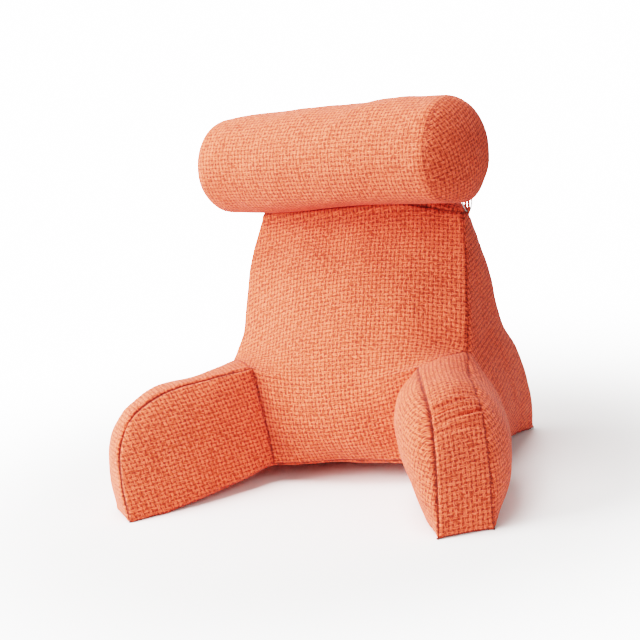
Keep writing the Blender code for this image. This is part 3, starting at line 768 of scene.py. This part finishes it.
def add(tree, kind, *values, output=0, sockets=None, **settings):
    """One output of a new shader node of this kind, with these settings.

    Its inputs are set to values or linked to outputs, in order or by their names or numbers.
    """
    made = tree.nodes.new("ShaderNode" + kind)
    for name, value in settings.items():
        setattr(made, name, value)
    for socket, value in {**dict(enumerate(values)), **(sockets or {})}.items():
        if isinstance(value, bpy.types.NodeSocket):
            tree.links.new(value, made.inputs[socket])
        else:
            made.inputs[socket].default_value = value
    return made.outputs[output]


def finish_of(name, roughness, metallic=0.0):
    """A new material with a Principled shader of this roughness and metalness."""
    made = bpy.data.materials.new(name)
    made.use_nodes = True
    shader = made.node_tree.nodes["Principled BSDF"]
    shader.inputs["Roughness"].default_value = roughness
    shader.inputs["Metallic"].default_value = metallic
    return made, made.node_tree, shader


def basket_cloth(name, use_map=True):
    """Polyester-linen basket weave in a coral dye: pairs of slub yarns in an open grid of 8.1 mm.

    Matt, with a painted highlight on the yarn tops and painted shade in the deep holes. Pairs lie
    at whole numbers of x and y.
    The weft's height is |cos(pi y)|^1.3 (0.75 + 0.3 cos(pi x) cos(pi y)), and the warp's the same
    with x and y changed over and the sign turned. Each has a groove down its middle and thick and
    thin places, and the upper one shows. Noise moves the places, so that no yarn runs quite
    straight, finer noise gives the fibres, and coarser noise faint patches. Painted shade darkens
    the seam lines, most where a seam is sewn deepest.
    """
    made, tree, shader = finish_of(name, roughness=0.92)
    if use_map:
        place = add(tree, "UVMap", uv_map="weave")
    else:
        place = add(tree, "TexCoord", output="Object")
    sway = add(tree, "TexNoise", place, output="Color",
               sockets={"Scale": SWAY_SCALE, "Detail": 4.0})
    centred = add(tree, "VectorMath", sway, (0.5, 0.5, 0.5), operation="SUBTRACT")
    moved = add(tree, "VectorMath", centred, (YARN_SWAY, YARN_SWAY, 0.0), place,
                operation="MULTIPLY_ADD")
    cells = add(tree, "VectorMath", moved, sockets={"Scale": 1 / WEAVE_CELL}, operation="SCALE")
    split = add(tree, "SeparateXYZ", cells).node.outputs
    half_turns = [add(tree, "Math", split[i], np.pi, operation="MULTIPLY") for i in (0, 1)]
    waves = [add(tree, "Math", angle, operation="COSINE") for angle in half_turns]
    crossing = add(tree, "Math", *waves, operation="MULTIPLY")
    yarns = []
    for cross, arched, stretch in ((1, YARN_ARCH, (SLUB_LONG, SLUB_WIDE, 1.0)),
                                   (0, -YARN_ARCH, (SLUB_WIDE, SLUB_LONG, 1.0))):
        wave = add(tree, "Math", waves[cross], operation="ABSOLUTE")
        ridge = add(tree, "Math", wave, YARN_ROUND, operation="POWER")
        turns = add(tree, "Math", split[cross], 2 * np.pi, operation="MULTIPLY")
        groove = add(tree, "Math", turns, operation="SINE")
        groove = add(tree, "Math", groove, operation="ABSOLUTE")
        groove = add(tree, "Math", groove, PAIR_ROUND, operation="POWER")
        groove = add(tree, "Math", groove, PAIR_RISE, PAIR_LOW, operation="MULTIPLY_ADD")
        body = add(tree, "Math", ridge, groove, operation="MULTIPLY")
        arch = add(tree, "Math", crossing, arched, YARN_LIFT, operation="MULTIPLY_ADD")
        drawn = add(tree, "VectorMath", cells, stretch, operation="MULTIPLY")
        slub = add(tree, "TexNoise", drawn, output="Fac", sockets={"Scale": 1.0, "Detail": 1.0})
        slub = add(tree, "Math", slub, SLUB_SWING, SLUB_LOW, operation="MULTIPLY_ADD")
        thick = add(tree, "Math", arch, slub, operation="MULTIPLY")
        yarns.append(add(tree, "Math", body, thick, operation="MULTIPLY"))
    top = add(tree, "Math", *yarns, operation="MAXIMUM")
    fibre = add(tree, "TexNoise", place, output="Fac",
                sockets={"Scale": FIBRE_SCALE, "Detail": 3.0})
    fibre = add(tree, "Math", fibre, 0.5, operation="SUBTRACT")
    uneven = add(tree, "Math", fibre, FIBRE_SHARE, top, operation="MULTIPLY_ADD")
    patchy = add(tree, "TexNoise", place, output="Fac",
                 sockets={"Scale": PATCH_SCALE, "Detail": 2.0})
    patchy = add(tree, "Math", patchy, 0.5, operation="SUBTRACT")
    shade = add(tree, "Math", patchy, PATCH_SHARE, uneven, operation="MULTIPLY_ADD")
    if use_map:
        # painted shade along the seams darkens the colour
        line = add(tree, "Attribute", output="Fac", attribute_name="seam_shade")
        shade = add(tree, "Math", line, SEAM_SHADE_SHARE, shade, operation="MULTIPLY_ADD")
    # the weave's height sets the colour: painted shade in the holes, the dye, painted highlight on the
    # yarn tops
    dye_and_painted_light = add(tree, "ValToRGB", shade)
    stops = dye_and_painted_light.node.color_ramp.elements
    stops.new(YARN[0])
    for stop, (height, code) in zip(stops, (SHADED_HOLE, YARN, LIT_YARN_TOP)):
        stop.position, stop.color = height, linear(code)
    tree.links.new(dye_and_painted_light, shader.inputs["Base Color"])
    bump = add(tree, "Bump", sockets={"Height": uneven, "Distance": CLOTH_RELIEF, "Strength": 1.0})
    tree.links.new(bump, shader.inputs["Normal"])
    shader.inputs["Sheen Weight"].default_value = 0.04
    shader.inputs["Sheen Roughness"].default_value = 0.5
    return made


def steel_wire():
    """Drawn stainless steel wire: bright, its gloss a little uneven from the drawing die.

    The die's marks are drawn 1.1 mm long, coarser than the real ones, so that they show.
    """
    made, tree, shader = finish_of("drawn_steel_wire", roughness=0.28, metallic=1.0)
    shader.inputs["Base Color"].default_value = linear(STEEL)
    place = add(tree, "TexCoord", output="Object")
    marks = add(tree, "TexNoise", place, output="Fac", sockets={"Scale": DIE_MARKS, "Detail": 2.0})
    rough = add(tree, "MapRange", marks, sockets={3: STEEL_ROUGH[0], 4: STEEL_ROUGH[1]})
    tree.links.new(rough, shader.inputs["Roughness"])
    return made


# ---- stage ----

def pale_floor():
    """A plain pale floor that fades out, so that the white studio shows behind the object."""
    low, reach = cad_box[0][2], 40
    mesh = bpy.data.meshes.new("floor")
    mesh.from_pydata([(-reach, -reach, low), (reach, -reach, low), (reach, reach, low),
                      (-reach, reach, low)], [], [(0, 1, 2, 3)])
    made, tree, shader = finish_of("pale_floor", roughness=0.9)
    shader.inputs["Base Color"].default_value = linear(FLOOR)
    place = add(tree, "TexCoord", output="Object")
    far = add(tree, "VectorMath", place, output="Value", operation="LENGTH")
    gone = add(tree, "MapRange", far, FLOOR_FROM, FLOOR_TO, interpolation_type="SMOOTHSTEP")
    clear = add(tree, "BsdfTransparent")
    faded = add(tree, "MixShader", gone, shader.outputs[0], clear)
    tree.links.new(faded, tree.nodes["Material Output"].inputs[0])
    mesh.materials.append(made)
    floor = bpy.data.objects.new("floor", mesh)
    bpy.context.scene.collection.objects.link(floor)


def studio_light():
    """Plain soft studio light: a white surround and seven square lights, strongest at the left."""
    world = bpy.data.worlds.new("studio")
    world.use_nodes = True
    tree = world.node_tree
    soft = tree.nodes["Background"]
    soft.inputs[0].default_value, soft.inputs[1].default_value = (1, 1, 1, 1), GLOW
    white = add(tree, "Background", (1, 1, 1, 1), BACKDROP)
    seen = add(tree, "LightPath", output="Is Camera Ray")
    mixed = add(tree, "MixShader", seen, soft.outputs[0], white)
    tree.links.new(mixed, tree.nodes["World Output"].inputs[0])
    bpy.context.scene.world = world
    bpy.context.scene.view_settings.view_transform = "Filmic"
    bpy.context.scene.view_settings.look = "High Contrast"
    for name, place, size, power in LIGHTS:
        light = bpy.data.lights.new(name, "AREA")
        light.size, light.energy = size, power
        lamp = bpy.data.objects.new(name, light)
        lamp.location = place
        facing = Vector(LIGHT_AIM) - Vector(place)
        lamp.rotation_euler = facing.to_track_quat("-Z", "Y").to_euler()
        bpy.context.scene.collection.objects.link(lamp)


def photo_camera():
    """The photograph's camera: turned 28.7 degrees to the right side, 10.9 down, rolled by -8.3."""
    turn, tip, roll = np.radians(CAMERA_ANGLES)
    ahead = Vector((-np.sin(turn) * np.cos(tip), np.cos(turn) * np.cos(tip), -np.sin(tip)))
    level = Vector((np.cos(turn), np.sin(turn), 0.0))
    above = level.cross(ahead)
    right = level * np.cos(roll) + above * np.sin(roll)
    up = -level * np.sin(roll) + above * np.cos(roll)
    camera = bpy.data.objects.new("camera", bpy.data.cameras.new("camera"))
    camera.data.lens, camera.data.sensor_width = CAMERA_LENS, CAMERA_SENSOR
    camera.matrix_world = (Matrix.Translation(CAMERA_PLACE)
                           @ Matrix((right, up, -ahead)).transposed().to_4x4())
    bpy.context.scene.collection.objects.link(camera)
    bpy.context.scene.camera = camera


photo_camera()
cloth = basket_cloth("coral_basket_weave")
cover_piece(cloth, roll_piece(cloth))
wire = steel_wire()
tape = basket_cloth("coral_tab_cloth", use_map=False)
for label in SIDES.values():
    ring_piece(label, wire)
    for name in ("back_tab_" + label, "roll_tab_" + label):
        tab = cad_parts[name]
        tab.data.materials.clear()
        tab.data.materials.append(tape)
pale_floor()
studio_light()
